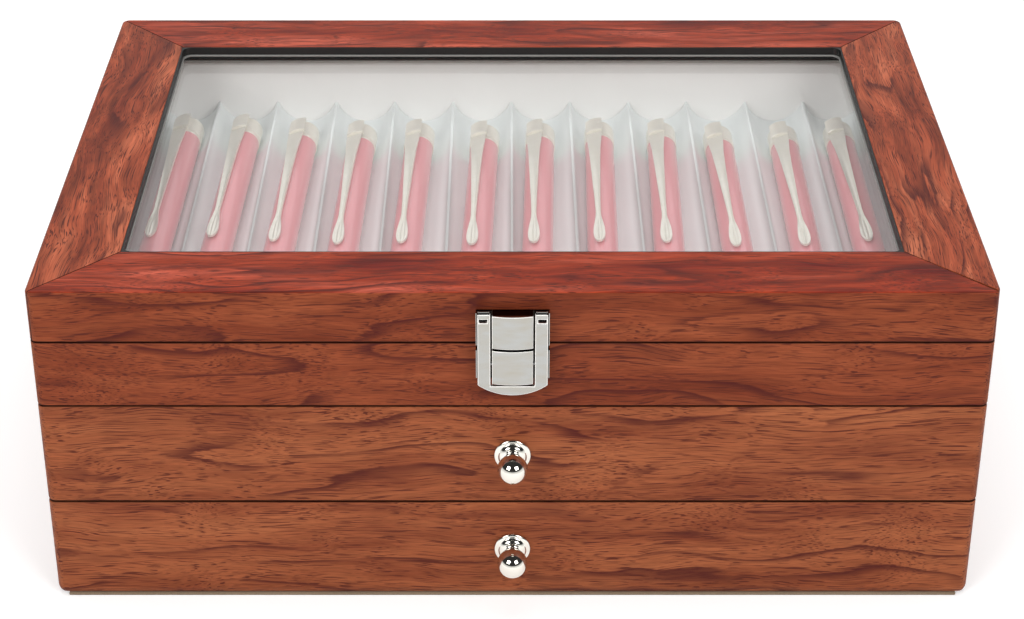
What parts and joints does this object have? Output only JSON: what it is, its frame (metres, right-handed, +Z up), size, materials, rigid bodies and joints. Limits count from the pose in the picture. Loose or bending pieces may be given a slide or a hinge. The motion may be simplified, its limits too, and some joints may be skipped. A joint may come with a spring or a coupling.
{
  "type": "pen collector chest",
  "caption": "Wooden pen chest with a glazed hinged lid over a grooved tray of pens, a spring latch, and grooved drawers with ball knobs below.",
  "frame": {"origin": "centre of the underside, where the chest stands", "axes": "+X to the right along the width, +Y to the back, +Z up; the latch and knobs face -Y"},
  "size_m": [0.34, 0.2593, 0.131],
  "materials": {
    "front_veneer": "satin lacquer over reddish-brown figured veneer, grain left to right",
    "back_veneer": "satin lacquer over reddish-brown figured veneer, grain left to right",
    "side_veneer": "satin lacquer over reddish-brown figured veneer, grain front to back",
    "lid_veneer_across": "satin lacquer over reddish-brown figured veneer, grain left to right",
    "lid_veneer_along": "satin lacquer over reddish-brown figured veneer, grain front to back",
    "panel_plywood": "plain plywood",
    "drawer_wood": "stained and sealed hardwood board",
    "base_felt": "grey-brown felt on thin hardboard",
    "lining_flock": "light grey flock",
    "insert_flock": "light grey flock",
    "black_trim": "matt black",
    "seal_silver": "silver-grey bead",
    "window_glass": "clear polished",
    "latch_nickel": "polished nickel plate",
    "hinge_nickel": "nickel plate",
    "knob_chrome": "polished chrome plate",
    "screw_steel": "zinc-plated steel",
    "pen_lacquer": "glossy pink lacquer",
    "pen_plating": "polished plating"
  },
  "bodies": {
    "case": {"case_front_rail": "front_veneer", "case_back": "back_veneer", "case_side_left": "side_veneer", "case_side_right": "side_veneer", "base_board": "base_felt", "base_panel": "panel_plywood", "drawer_shelf": "panel_plywood", "tray_floor": "panel_plywood", "tray_lining_front": "lining_flock", "tray_lining_back": "lining_flock", "tray_lining_left": "lining_flock", "tray_lining_right": "lining_flock", "tray_insert": "insert_flock", "hinge_case_leaf_left": "hinge_nickel", "hinge_case_leaf_right": "hinge_nickel", "hinge_pin_left": "hinge_nickel", "hinge_pin_right": "hinge_nickel", "hinge_case_screws": "screw_steel", "latch_base": "latch_nickel", "latch_pin": "screw_steel", "latch_base_nails": "screw_steel", "latch_spring": "screw_steel", "pen_caps": "pen_plating", "pen_barrels": "pen_lacquer", "pen_tips": "pen_plating", "pen_clips": "pen_plating"},
    "lid": {"lid_rail_front": "lid_veneer_across", "lid_rail_back": "lid_veneer_across", "lid_rail_left": "lid_veneer_along", "lid_rail_right": "lid_veneer_along", "lid_lining": "lining_flock", "window_liner": "black_trim", "glazing_seal": "seal_silver", "glass_pane": "window_glass", "glass_retainer": "black_trim", "hinge_lid_leaf_left": "hinge_nickel", "hinge_lid_leaf_right": "hinge_nickel", "hinge_lid_screws": "screw_steel", "latch_keeper": "latch_nickel", "latch_keeper_nails": "screw_steel"},
    "claw": {"latch_claw": "latch_nickel"},
    "upper_drawer": {"upper_drawer_front": "front_veneer", "upper_drawer_side_left": "drawer_wood", "upper_drawer_side_right": "drawer_wood", "upper_drawer_back": "drawer_wood", "upper_drawer_floor": "drawer_wood", "upper_drawer_insert": "insert_flock", "upper_drawer_knob": "knob_chrome", "upper_drawer_knob_screw": "screw_steel"},
    "lower_drawer": {"lower_drawer_front": "front_veneer", "lower_drawer_side_left": "drawer_wood", "lower_drawer_side_right": "drawer_wood", "lower_drawer_back": "drawer_wood", "lower_drawer_floor": "drawer_wood", "lower_drawer_insert": "insert_flock", "lower_drawer_knob": "knob_chrome", "lower_drawer_knob_screw": "screw_steel"}
  },
  "joints": [
    {"name": "lid_hinge", "type": "hinge", "parent": "case", "child": "lid", "pos_m": [0, 0.1223, 0.1108], "axis": [-1, 0, 0], "range_deg": [0, 95]},
    {"name": "upper_drawer_slide", "type": "slide", "parent": "case", "child": "upper_drawer", "axis": [0, -1, 0], "range_m": [0, 0.165]},
    {"name": "lower_drawer_slide", "type": "slide", "parent": "case", "child": "lower_drawer", "axis": [0, -1, 0], "range_m": [0, 0.165]},
    {"name": "latch_claw_pivot", "type": "hinge", "parent": "case", "child": "claw", "pos_m": [0, -0.1229, 0.1042], "axis": [1, 0, 0], "range_deg": [0, 12], "stiffness_Nm_per_rad": 0.02, "springref_deg": -14.32, "deforming": ["latch_spring"]}
  ]
}
